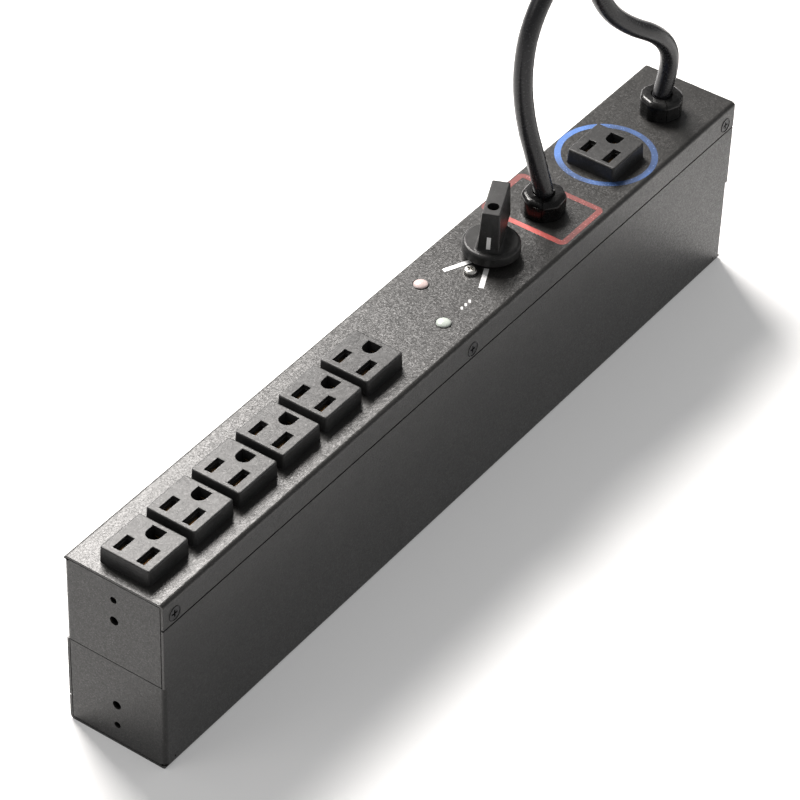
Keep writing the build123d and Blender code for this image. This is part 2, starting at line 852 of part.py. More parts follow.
def bushing_nodes():
    for name, (x, y), angle, route in (
        ("output", output_bushing, output_split_angle, output_route),
        ("supply", supply_bushing, supply_split_angle, supply_route),
    ):
        save(f"{name}_strain_relief", Pos(x, y, 0) * bushing(angle))
        save(f"{name}_cord_inner_end", cord_inner_end(route))


# Inner wires, each from the cord's end or the strip's end to its terminal or to the ground stud.
# A height below zero counts down from the panel's underside, and the others from the tray.
wire_routes = {
    "supply_line_wire": [
        (188.5, 1, -31.3), (188.5, 1, -35.8), (188, 2, -45.8), (180, 6, -56.8), (162, 10, -61.8),
        (135, 11, -62.8), (108, 11, -57.8), (92, 11, -43.8), (83, 10, -29.8), (75, 6, -21.3),
        (67, 4.5, -20.6),
    ],
    "supply_neutral_wire": [
        (186.8, -2.6, -31.3), (186.8, -2.6, -35.8), (186, -4, -45.8), (178, -8, -56.8),
        (160, -11, -61.8), (133, -12, -62.8), (106, -12, -57.8), (91, -12, -43.8),
        (82, -10.5, -29.8), (74.5, -6, -21.3), (67, -4.5, -20.6),
    ],
    "supply_ground_wire": [
        (190.2, -2.6, -31.3), (190.2, -2.6, -35.8), (191, -3, -46.8), (190, -4, -61.8),
        (186, -4, 16), (179, -2, 6), (174.5, 0, 3.2), (169.6, 0, 3.2),
    ],
    "output_line_wire": [
        (91.5, 2, -31.3), (91.5, 2, -34.8), (90.5, 3, -39.3), (86, 4.5, -41.3), (79, 5, -38.8),
        (74, 4.5, -34.3), (67, 4.5, -33.2),
    ],
    "output_neutral_wire": [
        (89.8, -1, -31.3), (89.8, -1, -34.8), (88.8, -2.5, -39.3), (84.5, -4.5, -41.3),
        (78, -5, -38.3), (73.5, -4.5, -34), (67, -4.5, -33.2),
    ],
    "output_ground_wire": [
        (93.2, -1, -31.3), (93.2, -1, -35.8), (94.5, -1, -42.8), (100, -1, -53.8), (113, -1, -63.8),
        (130, -1, 20), (145, -0.5, 10), (153.5, 0, 3.2), (160.4, 0, 3.2),
    ],
    "outlet_line_wire": [
        (-30.3, 5.15, -18.6), (-20, 5.2, -19.8), (-5, 6, -25.8), (12, 6, -29.8), (25, 5, -32.3),
        (33, 4.5, -33.2),
    ],
    "outlet_neutral_wire": [
        (-30.3, -7.55, -18.6), (-20, -7.5, -19.8), (-5, -7, -25.8), (12, -6, -29.8),
        (25, -5, -32.3), (33, -4.5, -33.2),
    ],
    "outlet_ground_wire": [
        (-30.3, -1.2, -18.6), (-22, -1.2, -19.3), (-14, -1, -25.8), (-8, -0.5, -37.8),
        (0, 0, -53.8), (12, 0, 24), (32, -1, 14), (60, -3, 9), (90, -5, 8), (120, -7, 7.5),
        (146, -9.5, 6), (158, -11.5, 3.5), (165, -10, 3.2), (165, -4.6, 3.2),
    ],
}


def wire_nodes():
    for name, route in wire_routes.items():
        placed = [(x, y, z if z > 0 else panel_under + z) for x, y, z in route]
        save(name, tube(placed, name, wire_d))


def ground_nodes():
    low = sheet
    stud = rod(stud_x, 0, low, low + stud_length, stud_r)
    save("ground_stud", stud)
    nut = Pos(stud_x, 0, low + 4) * extrude(
        RegularPolygon(nut_across / 2, 6, major_radius=False) - Circle(stud_r + nut_fit), amount=nut_height
    )
    washer = Pos(stud_x, 0, low) * extrude(Circle(4.5) - Circle(stud_r + 0.2), amount=4.0)
    save("ground_washer", washer)
    save("ground_nut", nut)


def cord_nodes():
    save("output_cord", tube(output_route, "output_cord"))
    save("supply_cord", tube(supply_route, "supply_cord"))
    joint_x = hank_x - hank_straight / 2 + tail_length
    stack = 0.0
    seat = 0.0
    for name, levels, entry_level, exit_level in (
        ("output", output_hank_levels, 0, output_hank_levels - 1),
        ("supply", supply_hank_levels, supply_hank_levels - 1, 0),
    ):
        save(f"{name}_cord_hank", hank(stack, levels, entry_level, exit_level))
        start_z = stack + (exit_level + 0.5) * cord_d
        centre_z = seat + plug_height / 2
        body, pins = plug(joint_x, plug_y(), centre_z)
        save(f"{name}_plug", body)
        save(f"{name}_plug_pins", group(pins))
        save(f"{name}_cord_tail", tube(tail_route(start_z, centre_z), f"{name}_cord_tail"))
        stack += levels * cord_d + stack_gap
        seat += plug_height + stack_gap


housing_nodes()
socket_nodes()
switch_nodes()
lamp_nodes()
bushing_nodes()
ground_nodes()
wire_nodes()
cord_nodes()
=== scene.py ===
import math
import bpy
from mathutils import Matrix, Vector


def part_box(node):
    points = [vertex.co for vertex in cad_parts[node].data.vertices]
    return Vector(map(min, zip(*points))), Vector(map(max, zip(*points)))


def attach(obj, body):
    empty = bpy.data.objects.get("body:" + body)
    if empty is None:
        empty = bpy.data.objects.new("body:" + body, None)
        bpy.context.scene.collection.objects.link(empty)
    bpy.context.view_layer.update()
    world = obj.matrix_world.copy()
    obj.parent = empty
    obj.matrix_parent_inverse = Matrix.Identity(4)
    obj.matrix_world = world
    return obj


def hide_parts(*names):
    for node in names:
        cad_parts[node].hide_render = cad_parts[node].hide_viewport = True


bl_info = {
    "name": "Rack Power Unit Dressing",
    "version": (1, 0, 0),
    "blender": (4, 5, 0),
    "location": "View3D > Sidebar > Power Unit",
    "description": "Cords, printed marks, finishes and a studio for a rack power distribution unit",
    "category": "Object",
}

import bpy
from bpy.props import FloatProperty, FloatVectorProperty, IntProperty, PointerProperty
from mathutils import Matrix, Vector

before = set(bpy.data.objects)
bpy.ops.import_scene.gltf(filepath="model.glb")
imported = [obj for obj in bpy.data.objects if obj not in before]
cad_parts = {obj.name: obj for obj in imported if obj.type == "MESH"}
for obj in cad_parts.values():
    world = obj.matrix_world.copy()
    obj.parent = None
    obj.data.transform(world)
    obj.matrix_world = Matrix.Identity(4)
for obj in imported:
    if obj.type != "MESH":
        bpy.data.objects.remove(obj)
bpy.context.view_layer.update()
MM = 0.001

# The outlet face's height, and the receptacles on it
PANEL = 93 * MM
SOCKETS = [f"outlet_{i}" for i in range(1, 7)] + ["ups_input_socket"]

# Sizes of the pieces are in millimetres and degrees from here on.

# The two cords' routes, from the top of each strain relief to the start of its hank
OUTPUT_ROUTE = [
    (91.5, 0, 103), (88.6, 3.5, 121), (85, 8, 142), (83.5, 10.5, 166), (88, 11, 190),
    (101, 8, 212), (123, 2, 229), (152, -5, 236), (184, -12, 230), (214, -18, 212),
    (240, -24, 185), (262, -29, 154), (281, -33, 120), (299, -33, 87), (320, -33, 55),
    (346, -33, 26), (380, -33, 4.5), (415.5, -33, 4.5),
]
SUPPLY_ROUTE = [
    (188.5, -1, 103), (191, -2.5, 116), (187.5, -3.5, 131), (176, -2.5, 144.5), (160, 2, 155),
    (146, 7, 169), (139, 11, 188), (138.5, 13.5, 212), (146, 14.5, 236), (163, 14.5, 254),
    (191, 13, 262), (220, 10.5, 259), (245, 6, 244.5), (267, -1, 220), (286, -9, 190.5),
    (304, -17, 159), (322, -24, 127), (341, -30, 93), (361, -33, 64.3), (387, -33, 49.8),
    (415.5, -33, 49.8),
]

# Each cord's hank, with the heights of its first turn, last turn and plug. The length is in metres.
CORDS = {
    "output": dict(route=OUTPUT_ROUTE, first=4.5, last=13.5, turns=1, plug=10.5, length=1.06),
    "supply": dict(route=SUPPLY_ROUTE, first=49.8, last=22.8, turns=3, plug=31.8, length=1.93),
}
HANK_CENTRE = (481.5, -6)
HANK_STRAIGHT = 132
FOLD_RADIUS = 27
CORD_STEPS = 6
CORD_ROUNDNESS = 8

# Where a tail ends at its plug, and its points as shares of the way there: along, sideways and up
TAIL_END = (495.5, -15.85)
TAIL_SHARES = (
    (0.214, 0, 0), (0.417, 0.257, 0.257), (0.583, 0.743, 0.743), (0.786, 1, 1), (1, 1, 1),
)

# Straps: distance from the hank's middle, room beside the cord, and how far the top sinks into it
TIE_REACH = 36
TIE_ROOM = 0.4
TIE_SINK = 0.2
TIE_CORNER = 3.6
TIE_THICKNESS = 0.9

# Printed ring and outline, and the number of sides of the ring and of other round pieces
RING_CENTRE = (144, 0.2)
RING_SIDES = 160
ROUND_SIDES = 64
OUTLINE_CENTRE = (91.8, 0.7)
OUTLINE_SIZE = (34, 46.5)
OUTLINE_CORNER = 3.4

# The knob's axis, and the two bars beside it, by their turns from the housing's length
KNOB_X = 50
BAR_TURNS = {"ready_bar_print": 24.5, "bypass_bar_print": -24.5}
BAR_REACH = 17.5
BAR_LENGTH = 14.1
BAR_CORNER = 0.12

DASH_PLACES = ((17.1, -11.5), (14.0, -11.5), (11.0, -11.5))
DASH_SIZE = (1.9, 1.0)
DASH_TURN = 35
DASH_CORNER = 0.1

# Top of the painted part of the grip's groove
POINTER_TOP = 108.5

# A receptacle's openings about its own centre: each slot's middle, and its size along X and along Y
SLOTS = (((-5.2, 6.35), (9.2, 3.8)), ((-5.2, -6.35), (10.6, 3.8)))
THROAT_MARGIN = 0.5
LEAD_DEPTH = 1.7
GROUND_ROUND = (6.5, 0)
GROUND_RADIUS = 3.5
GROUND_FLAT = 10.2

# A receptacle's block: how much narrower its top is, its edges, and how far its openings reach
FACE_DRAFT = 0.55
FACE_CORNER = 1.3
FACE_EDGE = 0.75
OPENING_EDGE = 0.22
OPENING_REACH = 11.4

# The contacts seen in the openings, by their depth below the block's top
LEAF_DEPTH = 5.9
LEAF_MARGIN = 1.3
LEAF_THICKNESS = 0.5
LEAF_HEIGHT = 3.2
LEAF_APART = 0.95
LEAF_FLARE = (0.3, 0.6)
LEAF_EDGE = 0.1
GROUND_BAR = (0.5, 4.6, 3)
GROUND_BAR_INSET = 0.6

# Bushings: the way each one's split runs, half the width across the flats, the bore and the split
BUSHING_TURNS = {"output": 29.5, "supply": 47.6}
BUSHING_SIDES = 8
BUSHING_HALF = 10
BUSHING_BORE = 5.2
BUSHING_SPLIT = 0.3
BUSHING_CORNER = 2
BUSHING_TOP_EDGE = 2.5
BUSHING_FOOT_EDGE = 0.8

# Thin dark rings of painted shade round the lamps and the flange screws, and how far a lens reaches
# into its hole
SHADE_RING_OUTSET = 0.15
SHADE_RING_RADIUS = 0.28
LENS_FOOT = 0.3

# What counts as level with a top or foot, and as facing along an axis
LEVEL = 0.01 * MM
FACING = 0.9

# The camera that was solved on the photograph: azimuth, elevation and roll, and its place in metres
CAMERA_ANGLES = (-55.5822, 40.4290, 2.0162)
CAMERA_PLACE = (-1.02402, -0.68963, 1.09295)
CAMERA_SENSOR = 36
CAMERA_LENS = 163.59

# Each lamp's place, what it faces and its size, in metres. The near end of the outlet face
# mirrors the key.
LAMPS = {
    "Key": ((0.37, 0.77, 1.03), (0, 0, PANEL), (0.7, 0.45)),
    "Fill": ((-1.6, 0.9, 1.0), (-0.2, 0, 0), (1.0, 0.8)),
}
LAMP_COLOUR = (1, 0.965, 0.935)
FLOOR_SIZE = 30
FLOOR_CUTS = 4
FLOOR_GLOW = 0.2

# Coats and mouldings, with the scales of grain and specks, and the share of cells with a speck.
# The depth of the bump is in millimetres.
COATS = {
    "Powder coat": dict(
        base=(0.0165, 0.016, 0.0152), speck=(0.06, 0.058, 0.055), grain_scale=1150,
        speck_scale=1600, speck_share=0.6, rough=0.36, bump=0.6, depth=0.08, shine=0.38,
        dust=0.025, tilt=0.12,
    ),
    "Moulded black": dict(
        base=(0.02, 0.02, 0.02), speck=(0.07, 0.07, 0.07), grain_scale=1700, speck_scale=1500,
        speck_share=0.22, rough=0.4, bump=0.4, depth=0.06, tilt=0.08,
    ),
    "Knob black": dict(
        base=(0.014, 0.014, 0.014), speck=(0.05, 0.05, 0.05), grain_scale=2000, speck_scale=1700,
        speck_share=0.12, rough=0.38, bump=0.3, depth=0.04, shine=0.2,
    ),
    "Gloss black": dict(
        base=(0.004, 0.004, 0.004), speck=(0.01, 0.01, 0.01), grain_scale=900, speck_scale=1500,
        speck_share=0.05, rough=0.2, bump=0.1, depth=0.03, shine=0.2,
    ),
    "Switch plastic": dict(
        base=(0.12, 0.12, 0.125), speck=(0.3, 0.3, 0.3), grain_scale=1500, speck_scale=1500,
        speck_share=0.1, rough=0.5, bump=0.3, depth=0.05,
    ),
    "Board laminate": dict(
        base=(0.02, 0.14, 0.05), speck=(0.1, 0.3, 0.12), grain_scale=900, speck_scale=900,
        speck_share=0.1, rough=0.35, bump=0.1, depth=0.03,
    ),
    "Tie fabric": dict(
        base=(0.015, 0.015, 0.016), speck=(0.08, 0.08, 0.08), grain_scale=1800, speck_scale=1800,
        speck_share=0.4, rough=0.75, bump=0.8, depth=0.15,
    ),
}
INSULATION = {
    "Black insulation": (0.02, 0.02, 0.02),
    "White insulation": (0.65, 0.65, 0.62),
    "Green insulation": (0.02, 0.2, 0.05),
}
METALS = {
    "Nickel plate": ((0.66, 0.65, 0.62), 0.25),
    "Brass strip": ((0.72, 0.5, 0.2), 0.3),
    # Painted shade: the contacts' brass is a darker copy of the brass strip, for the shade deep in
    # the slots.
    "Contact brass": ((0.2, 0.13, 0.06), 0.3),
    "Blackened steel": ((0.05, 0.05, 0.052), 0.35),
}
LENSES = {
    # The two lenses' pale colours are partly a painted reflection of the lamp.
    "Pink lens": (0.62, 0.5, 0.48),
    "Green lens": (0.52, 0.57, 0.52),
    "Lamp body": (0.5, 0.08, 0.05),
}
WHITE_PRINT = (0.72, 0.72, 0.72)
PALE_PRINT = (0.6, 0.6, 0.6)
KNOB_COLOUR = (0.014, 0.014, 0.014)
DUST_COLOUR = (0.3, 0.3, 0.3)
DUST_SCALE = 45.0

# How much a coat's tone changes over the piece
TONE_RANGE = (0.92, 1.08)

# What each finish goes on, among the solid parts
CORE_KINDS = {
    "line": "Black insulation", "neutral": "White insulation", "ground": "Green insulation",
}
NODE_FINISHES = {
    "Powder coat": ["top_cover", "bottom_tray"],
    "Moulded black": [*SOCKETS, "outlet_bases", "input_base"],
    "Knob black": ["selector_knob"],
    "Pointer paint": ["knob_pointer"],
    "Gloss black": ["output_strain_relief", "supply_strain_relief", "output_plug", "supply_plug"],
    "Cord jacket": ["output_cord_inner_end", "supply_cord_inner_end"],
    "Switch plastic": ["outlet_backplate", "input_backplate", "switch_body"],
    "Board laminate": ["indicator_board"],
    "Blackened steel": ["front_flange_screws", "rear_flange_screws"],
    "Nickel plate": [
        "knob_screw", "switch_shaft", "switch_mounting_screws", "board_standoffs",
        "ground_stud", "ground_nut", "ground_washer",
    ],
    "Brass strip": ["switch_terminal_screws", "output_plug_pins", "supply_plug_pins"]
    + [f"{kind}_bus_strip" for kind in CORE_KINDS]
    + [f"input_{kind}_contact" for kind in CORE_KINDS],
    "Pink lens": ["bypass_lamp_lens"],
    "Green lens": ["ready_lamp_lens"],
    "Lamp body": ["indicator_leds"],
}
for kind, insulation in CORE_KINDS.items():
    NODE_FINISHES[insulation] = [f"{end}_{kind}_wire" for end in ("supply", "output", "outlet")]


class PowerUnitCordSettings(bpy.types.PropertyGroup):
    diameter: FloatProperty(
        name="Diameter", description="Outside diameter of both cords",
        default=9 * MM, unit="LENGTH",
    )
    fold_points: IntProperty(
        name="Points in a fold", description="Control points round each end of a hank",
        default=6, min=4,
    )
    tie_width: FloatProperty(
        name="Tie width", description="Width of the straps on the hanks",
        default=9 * MM, unit="LENGTH",
    )


class PowerUnitPrintSettings(bpy.types.PropertyGroup):
    ink_height: FloatProperty(
        name="Ink height", description="Thickness of the printed ink",
        default=0.05 * MM, unit="LENGTH",
    )
    ring_radius: FloatProperty(
        name="Ring radius", description="Outer radius of the ring at the input",
        default=24 * MM, unit="LENGTH",
    )
    band: FloatProperty(
        name="Band", description="Width of the ring's and the outline's band",
        default=3 * MM, unit="LENGTH",
    )
    bar_width: FloatProperty(
        name="Bar width", description="Width of the selector's two marks",
        default=2.3 * MM, unit="LENGTH",
    )
    # Both inks are paler than the ink itself: painted sheen, the lamp mirrored in the print.
    blue: FloatVectorProperty(
        name="Ring colour", description="Ink of the ring",
        default=(0.055, 0.14, 0.38), subtype="COLOR",
    )
    red: FloatVectorProperty(
        name="Outline colour", description="Ink of the outline",
        default=(0.4, 0.07, 0.06), subtype="COLOR",
    )


class PowerUnitStageSettings(bpy.types.PropertyGroup):
    key_power: FloatProperty(
        name="Key power", description="Power of the large lamp beyond the far end",
        default=45, unit="POWER",
    )
    fill_power: FloatProperty(
        name="Fill power", description="Power of the lamp on the near end's side",
        default=4, unit="POWER",
    )
    world_strength: FloatProperty(
        name="World strength", description="Light from all round", default=0.35, min=0
    )


def mm(*sizes):
    return tuple(MM * size for size in sizes)


def shade_of(colour, share):
    return tuple(min(1, share * c) for c in colour)


# Nodes and materials


def link(tree, a, out, b, into):
    tree.links.new(a.outputs[out], b.inputs[into])


def set_values(node, **values):
    # A name is an input, with underscores for its spaces, or else a setting of the node.
    for name, value in values.items():
        socket = name.replace("_", " ")
        if socket in node.inputs:
            node.inputs[socket].default_value = value
        else:
            setattr(node, name, value)


def add(tree, kind, place, **values):
    node = tree.nodes.new(kind)
    node.location = place
    set_values(node, **values)
    return node


def texture(tree, kind, place, **values):
    # A texture on the piece's own coordinates.
    coords = add(tree, "ShaderNodeTexCoord", (place[0] - 250, place[1]))
    node = add(tree, kind, place, **values)
    link(tree, coords, "Object", node, "Vector")
    return node


def combine(tree, place, operation, *terms):
    # A term is a number, or a node and the name of its output.
    node = add(tree, "ShaderNodeMath", place, operation=operation)
    for socket, term in enumerate(terms):
        if isinstance(term, tuple):
            link(tree, *term, node, socket)
        else:
            node.inputs[socket].default_value = term
    return node


def remap(tree, place, source, out, **span):
    node = add(tree, "ShaderNodeMapRange", place, **span)
    link(tree, source, out, node, "Value")
    return node


def mix_colour(tree, place, source, out, low, high):
    # Low and high are colours, or another mix.
    node = add(tree, "ShaderNodeMix", place, data_type="RGBA")
    link(tree, source, out, node, 0)
    for socket, value in ((6, low), (7, high)):
        if isinstance(value, bpy.types.Node):
            link(tree, value, 2, node, socket)
        else:
            node.inputs[socket].default_value = (*value, 1)
    return node


def new_group(name, inputs, outputs):
    tree = bpy.data.node_groups.new(name, "ShaderNodeTree")
    for label, value in inputs.items():
        socket = tree.interface.new_socket(
            name=label, in_out="INPUT", socket_type="NodeSocketFloat"
        )
        socket.default_value = value
    for label, kind in outputs.items():
        tree.interface.new_socket(name=label, in_out="OUTPUT", socket_type=f"NodeSocket{kind}")
    into = add(tree, "NodeGroupInput", (-900, 0))
    out = add(tree, "NodeGroupOutput", (600, 0))
    return tree, into, out


def grain_group():
    # Grainy coat: height for the bump, bright specks, a slow change of tone, and each grain's lean.
    tree, into, out = new_group(
        "Coat Grain",
        {"Grain Scale": 2200.0, "Speck Scale": 1400.0, "Speck Share": 0.2},
        {"Height": "Float", "Specks": "Float", "Tone": "Float", "Facets": "Vector"},
    )
    grain = texture(tree, "ShaderNodeTexNoise", (-600, 300), Detail=3.0, Roughness=0.6)
    link(tree, into, "Grain Scale", grain, "Scale")
    link(tree, grain, "Fac", out, "Height")
    cells = texture(tree, "ShaderNodeTexVoronoi", (-600, 0), Randomness=1.0)
    link(tree, into, "Speck Scale", cells, "Scale")
    split = add(tree, "ShaderNodeSeparateColor", (-400, 0))
    link(tree, cells, "Color", split, "Color")
    chosen = combine(tree, (-200, 0), "LESS_THAN", (split, "Red"), (into, "Speck Share"))
    core = remap(tree, (-200, -200), cells, "Distance", From_Min=0.45, From_Max=0.15)
    specks = combine(tree, (50, 0), "MULTIPLY", (chosen, "Value"), (core, "Result"))
    bright = combine(tree, (250, 0), "MULTIPLY", (specks, "Value"), (split, "Green"))
    link(tree, bright, "Value", out, "Specks")
    turned = add(tree, "ShaderNodeVectorMath", (-200, -400), operation="SUBTRACT")
    link(tree, cells, "Color", turned, 0)
    turned.inputs[1].default_value = (0.5, 0.5, 0.5)
    link(tree, turned, "Vector", out, "Facets")
    slow = texture(
        tree, "ShaderNodeTexNoise", (-600, -400), Scale=14.0, Detail=4.0, Roughness=0.5
    )
    link(tree, slow, "Fac", out, "Tone")
    return tree


def dust_group():
    # Fine dust and rub marks, as a mask.
    tree, into, out = new_group("Fine Dust", {"Scale": 60.0, "Amount": 0.2}, {"Mask": "Float"})
    cloud = texture(tree, "ShaderNodeTexNoise", (-600, 200), Detail=8.0, Roughness=0.7)
    link(tree, into, "Scale", cloud, "Scale")
    shaped = remap(tree, (-300, 200), cloud, "Fac", From_Min=0.45, From_Max=0.75)
    amount = combine(tree, (0, 200), "MULTIPLY", (shaped, "Result"), (into, "Amount"))
    link(tree, amount, "Value", out, "Mask")
    return tree


def place_group(tree, name, maker, place, **values):
    # A group is built once, and placed in each material with its own values.
    node = add(tree, "ShaderNodeGroup", place)
    node.node_tree = bpy.data.node_groups.get(name) or maker()
    set_values(node, **values)
    return node


def place_grain(tree, place, grain_scale=1500.0, speck_scale=1300.0, speck_share=0.35):
    return place_group(
        tree, "Coat Grain", grain_group, place,
        Grain_Scale=grain_scale, Speck_Scale=speck_scale, Speck_Share=speck_share,
    )


def new_material(name, **values):
    material = bpy.data.materials.new(name)
    material.use_nodes = True
    tree = material.node_tree
    shader = tree.nodes["Principled BSDF"]
    set_values(shader, **values)
    return material, tree, shader


def colour_by(tree, shader, mix):
    link(tree, mix, 2, shader, "Base Color")


def gloss_by(tree, shader, source, out, **span):
    gloss = remap(tree, (-400, -100), source, out, **span)
    link(tree, gloss, "Result", shader, "Roughness")


def emboss_by(tree, shader, source, out, strength, depth):
    relief = add(
        tree, "ShaderNodeBump", (-200, -300), Strength=strength, Distance=depth * MM
    )
    link(tree, source, out, relief, "Height")
    link(tree, relief, "Normal", shader, "Normal")
    return relief


def facets(tree, grain, tilt):
    # Each grain of the coat leans its own way, so it glints where the lamp is mirrored.
    plain = add(tree, "ShaderNodeNewGeometry", (-900, -600))
    lean = add(tree, "ShaderNodeVectorMath", (-650, -600), operation="SCALE", Scale=tilt)
    link(tree, grain, "Facets", lean, "Vector")
    both = add(tree, "ShaderNodeVectorMath", (-500, -600), operation="ADD")
    link(tree, plain, "Normal", both, 0)
    link(tree, lean, "Vector", both, 1)
    unit = add(tree, "ShaderNodeVectorMath", (-350, -600), operation="NORMALIZE")
    link(tree, both, "Vector", unit, 0)
    return unit


def coated(
    name, base, speck, grain_scale, speck_scale, speck_share, rough, bump, depth,
    shine=0.3, dust=0.1, tilt=0.0,
):
    # A grainy coat or moulding: specks, slow tone, dust, and gloss and bump from the same grain.
    material, tree, shader = new_material(name, Specular_IOR_Level=shine)
    grain = place_grain(tree, (-900, 0), grain_scale, speck_scale, speck_share)
    dusty = place_group(tree, "Fine Dust", dust_group, (-900, -300), Scale=DUST_SCALE, Amount=dust)
    deep, pale = (shade_of(base, share) for share in TONE_RANGE)
    tone = mix_colour(tree, (-600, 200), grain, "Tone", deep, pale)
    flecked = mix_colour(tree, (-400, 200), grain, "Specks", tone, speck)
    colour_by(tree, shader, mix_colour(tree, (-200, 200), dusty, "Mask", flecked, DUST_COLOUR))
    gloss_by(
        tree, shader, grain, "Height",
        From_Min=0.3, From_Max=0.7, To_Min=rough - 0.06, To_Max=rough + 0.08,
    )
    relief = emboss_by(tree, shader, grain, "Height", bump, depth)
    if tilt:
        link(tree, facets(tree, grain, tilt), "Vector", relief, "Normal")
    return material


def insulated(name, colour):
    # Thin insulation of a single core.
    return coated(
        name, colour, shade_of(colour, 1.3), grain_scale=900, speck_scale=900, speck_share=0.1,
        rough=0.32, bump=0.1, depth=0.02,
    )


def plated(name, colour, rough):
    # Bright metal with fine turning or rolling marks.
    material, tree, shader = new_material(name, Metallic=1.0)
    marks = texture(
        tree, "ShaderNodeTexNoise", (-650, 0), Scale=900.0, Detail=4.0, Roughness=0.6
    )
    tint = mix_colour(tree, (-300, 200), marks, "Fac", shade_of(colour, 0.8), colour)
    colour_by(tree, shader, tint)
    gloss_by(tree, shader, marks, "Fac", To_Min=rough - 0.08, To_Max=rough + 0.1)
    emboss_by(tree, shader, marks, "Fac", strength=0.15, depth=0.02)
    return material


def lens_plastic(name, colour):
    # Tinted moulded lens, cloudy inside, with a polished face. Its pale colour is partly a painted
    # reflection of the lamp.
    material, tree, shader = new_material(
        name, Roughness=0.14, Coat_Weight=0.5, Coat_Roughness=0.05
    )
    cloud = texture(
        tree, "ShaderNodeTexNoise", (-650, 0), Scale=350.0, Detail=3.0, Roughness=0.5
    )
    tint = mix_colour(tree, (-300, 200), cloud, "Fac", shade_of(colour, 0.7), colour)
    colour_by(tree, shader, tint)
    return material


def ink(name, colour, sheen_and_wear=0.12, depth=0.35):
    # Printed ink on the coat's grain: darker in patches of painted shade, which stand for dark
    # things mirrored in the print, and paler on the grain's specks, partly wear and partly painted
    # sheen.
    material, tree, shader = new_material(name, Roughness=0.4)
    grain = place_grain(tree, (-900, 0))
    # Painted shade: random patches of darker ink stand for dark things mirrored in the print.
    reflection_patches = remap(tree, (-700, 200), grain, "Tone", From_Min=0.42, From_Max=0.53)
    shade = mix_colour(
        tree, (-500, 200), reflection_patches, "Result", tuple(depth * c for c in colour), colour
    )
    # Partly wear and partly painted sheen: the ink is lighter on the grain's specks.
    pale = tuple(min(1, c + sheen_and_wear) for c in colour)
    colour_by(tree, shader, mix_colour(tree, (-300, 200), grain, "Specks", shade, pale))
    emboss_by(tree, shader, grain, "Height", strength=0.6, depth=0.1)
    return material


def pointer_paint():
    # White paint in the lower part of the grip's groove, and the moulding's own black above it.
    material, tree, shader = new_material("Pointer paint", Roughness=0.4, Specular_IOR_Level=0.3)
    grain = place_grain(tree, (-900, 300))
    place = add(tree, "ShaderNodeTexCoord", (-1100, 0))
    split = add(tree, "ShaderNodeSeparateXYZ", (-900, 0))
    link(tree, place, "Object", split, "Vector")
    above = combine(tree, (-700, 0), "GREATER_THAN", (split, "Z"), POINTER_TOP * MM)
    white = mix_colour(tree, (-500, 300), grain, "Tone", PALE_PRINT, WHITE_PRINT)
    colour_by(tree, shader, mix_colour(tree, (-300, 200), above, "Value", white, KNOB_COLOUR))
    return material


def cord_jacket():
    # Glossy extruded jacket, with a fine grain in its colour, gloss and surface.
    material, tree, shader = new_material("Cord jacket", Specular_IOR_Level=0.32)
    fine = texture(
        tree, "ShaderNodeTexNoise", (-800, 200), Scale=900.0, Detail=3.0, Roughness=0.6
    )
    tint = mix_colour(
        tree, (-300, 200), fine, "Fac", (0.008, 0.008, 0.009), (0.016, 0.016, 0.018)
    )
    colour_by(tree, shader, tint)
    gloss_by(tree, shader, fine, "Fac", To_Min=0.2, To_Max=0.32)
    emboss_by(tree, shader, fine, "Fac", strength=0.08, depth=0.03)
    return material


def finish_named(name):
    # A finish is made once, by the first step that asks for it.
    if name in bpy.data.materials:
        return bpy.data.materials[name]
    if name in COATS:
        return coated(name, **COATS[name])
    if name in INSULATION:
        return insulated(name, INSULATION[name])
    if name in METALS:
        return plated(name, *METALS[name])
    if name in LENSES:
        return lens_plastic(name, LENSES[name])
    return {"Cord jacket": cord_jacket, "Pointer paint": pointer_paint}[name]()


def finish(obj, material):
    obj.data.materials.clear()
    obj.data.materials.append(material)


def finish_node(name, material):
    # A CAD node keeps its mesh, and takes the material in each of its object's slots.
    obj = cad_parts[name]
    for slot in obj.material_slots:
        slot.link = "OBJECT"
        slot.material = material


# Shaping


def primitive(operator, **values):
    # A new primitive, with nothing else selected.
    bpy.ops.object.select_all(action="DESELECT")
    operator(**values)
    return bpy.context.object


def box_piece(middle, size):
    obj = primitive(bpy.ops.mesh.primitive_cube_add, size=1, location=middle)
    obj.scale = size
    bpy.ops.object.transform_apply(location=True, rotation=False, scale=True)
    return obj


def edit_mesh(operator, whole=False, **values):
    # Runs an operator in edit mode, on what is selected there or on the whole mesh.
    bpy.ops.object.mode_set(mode="EDIT")
    if whole:
        bpy.ops.mesh.select_all(action="SELECT")
    operator(**values)
    bpy.ops.object.mode_set(mode="OBJECT")


def select_none(kind):
    bpy.ops.object.mode_set(mode="EDIT")
    bpy.ops.mesh.select_mode(type=kind)
    bpy.ops.mesh.select_all(action="DESELECT")
    bpy.ops.object.mode_set(mode="OBJECT")


def select_faces(obj, wanted):
    # Selects the faces that a test on the face wants.
    select_none("FACE")
    for face in obj.data.polygons:
        face.select = wanted(face)


def round_edges(obj, radius, segments, wanted):
    # Rounds the edges that a test on an edge's two ends wants.
    select_none("EDGE")
    for edge in obj.data.edges:
        a, b = (obj.data.vertices[i].co for i in edge.vertices)
        edge.select = wanted(a, b)
    edit_mesh(bpy.ops.mesh.bevel, offset=radius * MM, segments=segments, affect="EDGES")


def apply_modifier(obj, kind, **values):
    modifier = obj.modifiers.new(kind.title(), kind)
    for key, value in values.items():
        setattr(modifier, key, value)
    bpy.context.view_layer.objects.active = obj
    bpy.ops.object.modifier_apply(modifier=modifier.name)


def cut_away(obj, cutter):
    apply_modifier(obj, "BOOLEAN", operation="DIFFERENCE", object=cutter, solver="EXACT")
    bpy.data.objects.remove(cutter)


